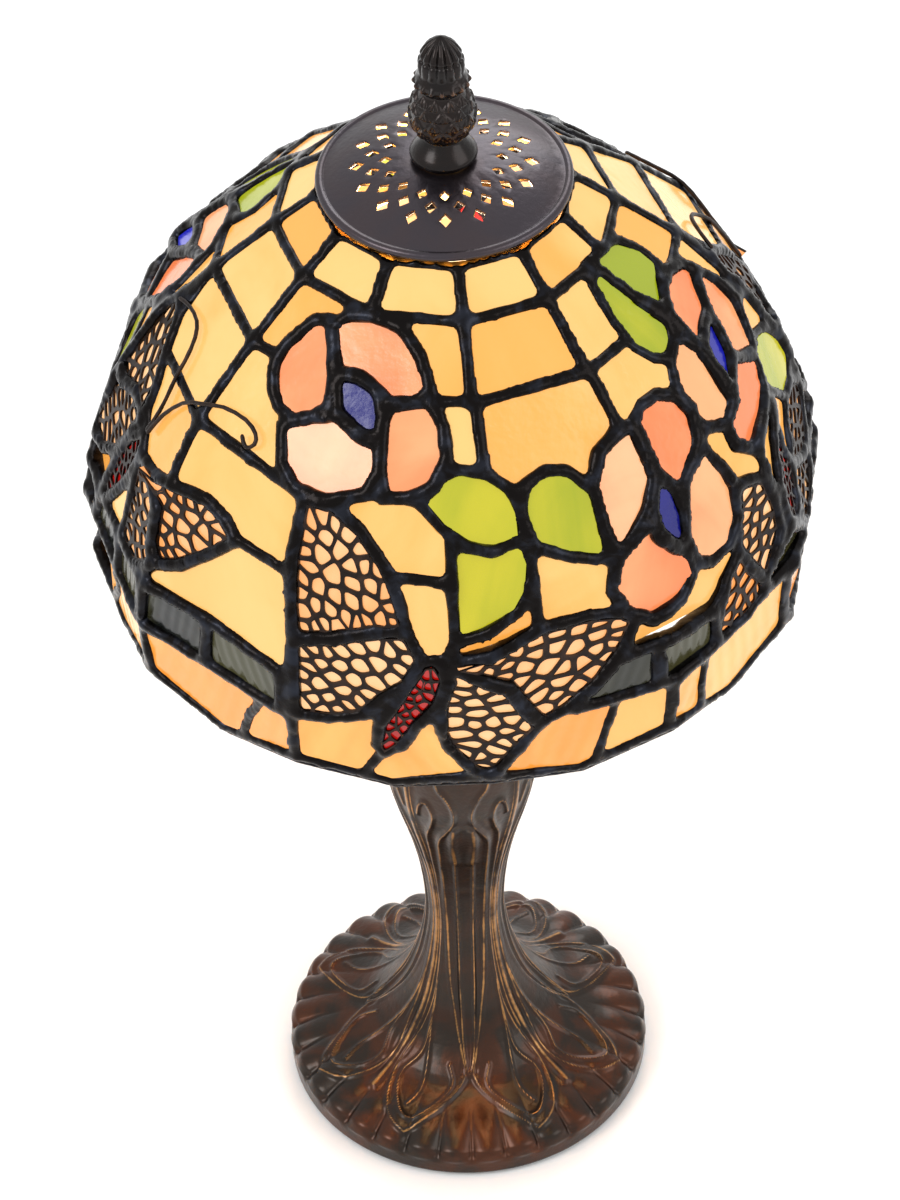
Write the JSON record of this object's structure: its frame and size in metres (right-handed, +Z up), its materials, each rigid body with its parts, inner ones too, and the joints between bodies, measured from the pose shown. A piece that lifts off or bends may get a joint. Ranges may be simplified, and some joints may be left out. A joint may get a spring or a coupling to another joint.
{
  "type": "stained glass table lamp",
  "caption": "Table lamp with a leaded glass dome shade of flowers and butterflies on a cast bronze stem and foot; the shade turns, and the finial, bulb and switch work.",
  "frame": {"origin": "middle of the felt face that the lamp rests on", "axes": "+Z up along the stem, -Y towards the front, +X to the right seen from the front"},
  "size_m": [0.2068, 0.205, 0.399],
  "materials": {
    "felt": "short pile",
    "bronze": "dark brown patina, worn to gold on the raised lines",
    "iron": "rough cast",
    "steel": "plain zinc plate",
    "bush_rubber": "matt black",
    "brass": "lacquered",
    "phenolic": "black moulding",
    "switch_black": "black moulding",
    "socket_aluminium": "drawn",
    "liner_card": "fibre board",
    "filament": "glass stem with bright wires",
    "bulb_glass": "frosted",
    "glass_cream": "opalescent, ribbed by rolling",
    "glass_peach": "opalescent",
    "glass_blue": "cathedral",
    "glass_green": "opalescent",
    "glass_moss": "iridescent",
    "glass_amber": "opalescent",
    "glass_red": "cathedral",
    "seam": "solder with a black-brown patina",
    "overlay": "pierced sheet with a black patina",
    "cap_bronze": "dark gunmetal brown",
    "finial_bronze": "glossy dark bronze"
  },
  "bodies": {
    "lamp": {"felt_pad": "felt", "base_casting": "bronze", "ballast_disc": "iron", "bottom_plate": "steel", "plate_screws": "steel", "pipe_washer": "steel", "pipe_nut": "steel", "cord_grommet": "bush_rubber", "threaded_pipe": "brass", "check_ring": "brass", "harp_saddle": "brass", "saddle_nut": "brass", "harp": "brass", "harp_stud": "brass", "socket_cap": "brass", "centre_contact": "brass", "terminal_screws": "brass", "socket_shell": "brass", "socket_body": "phenolic", "switch_block": "phenolic", "screw_shell": "socket_aluminium", "socket_liner": "liner_card"},
    "shade": {"glass_cream_upper": "glass_cream", "glass_cream_middle": "glass_cream", "glass_cream_lower": "glass_cream", "glass_petals": "glass_peach", "glass_flower_centres": "glass_blue", "glass_leaves": "glass_green", "glass_branch": "glass_moss", "glass_wings": "glass_amber", "glass_bodies": "glass_red", "wing_filigree": "overlay", "body_filigree": "overlay", "antennae": "overlay", "solder_seams": "seam", "rim_wire": "seam", "vented_cap": "cap_bronze", "cap_ring": "brass"},
    "finial_lift": {"finial_washer": "brass"},
    "finial": {"finial": "finial_bronze", "finial_insert": "brass"},
    "bulb_lift": {"bulb_contact": "steel"},
    "bulb": {"bulb_cap": "socket_aluminium", "bulb_insulator": "phenolic", "bulb_stem": "filament", "bulb_glass": "bulb_glass"},
    "switch": {"switch_shaft": "brass", "switch_knob": "switch_black"}
  },
  "joints": [
    {"name": "shade_turn", "type": "hinge", "parent": "lamp", "child": "shade", "pos_m": [0, 0, 0.3585], "axis": [0, 0, 1], "continuous": true},
    {"name": "finial_rise", "type": "slide", "parent": "lamp", "child": "finial_lift", "axis": [0, 0, 1], "range_m": [0, 0.013]},
    {"name": "finial_screw", "type": "hinge", "parent": "finial_lift", "child": "finial", "pos_m": [0, 0, 0.36], "axis": [0, 0, 1], "range_deg": [0, 4680.1]},
    {"name": "bulb_rise", "type": "slide", "parent": "lamp", "child": "bulb_lift", "axis": [0, 0, 1], "range_m": [0, 0.02172]},
    {"name": "bulb_screw", "type": "hinge", "parent": "bulb_lift", "child": "bulb", "pos_m": [0, 0, 0.25], "axis": [0, 0, 1], "range_deg": [0, 2160.1]},
    {"name": "switch_turn", "type": "hinge", "parent": "lamp", "child": "switch", "pos_m": [0, 0, 0.211], "axis": [0, -1, 0], "continuous": true}
  ],
  "couplings": [
    {"joint": "finial_screw", "follows": "finial_rise", "rad_per_m": 6283.2},
    {"joint": "bulb_screw", "follows": "bulb_rise", "rad_per_m": 1735.7}
  ]
}
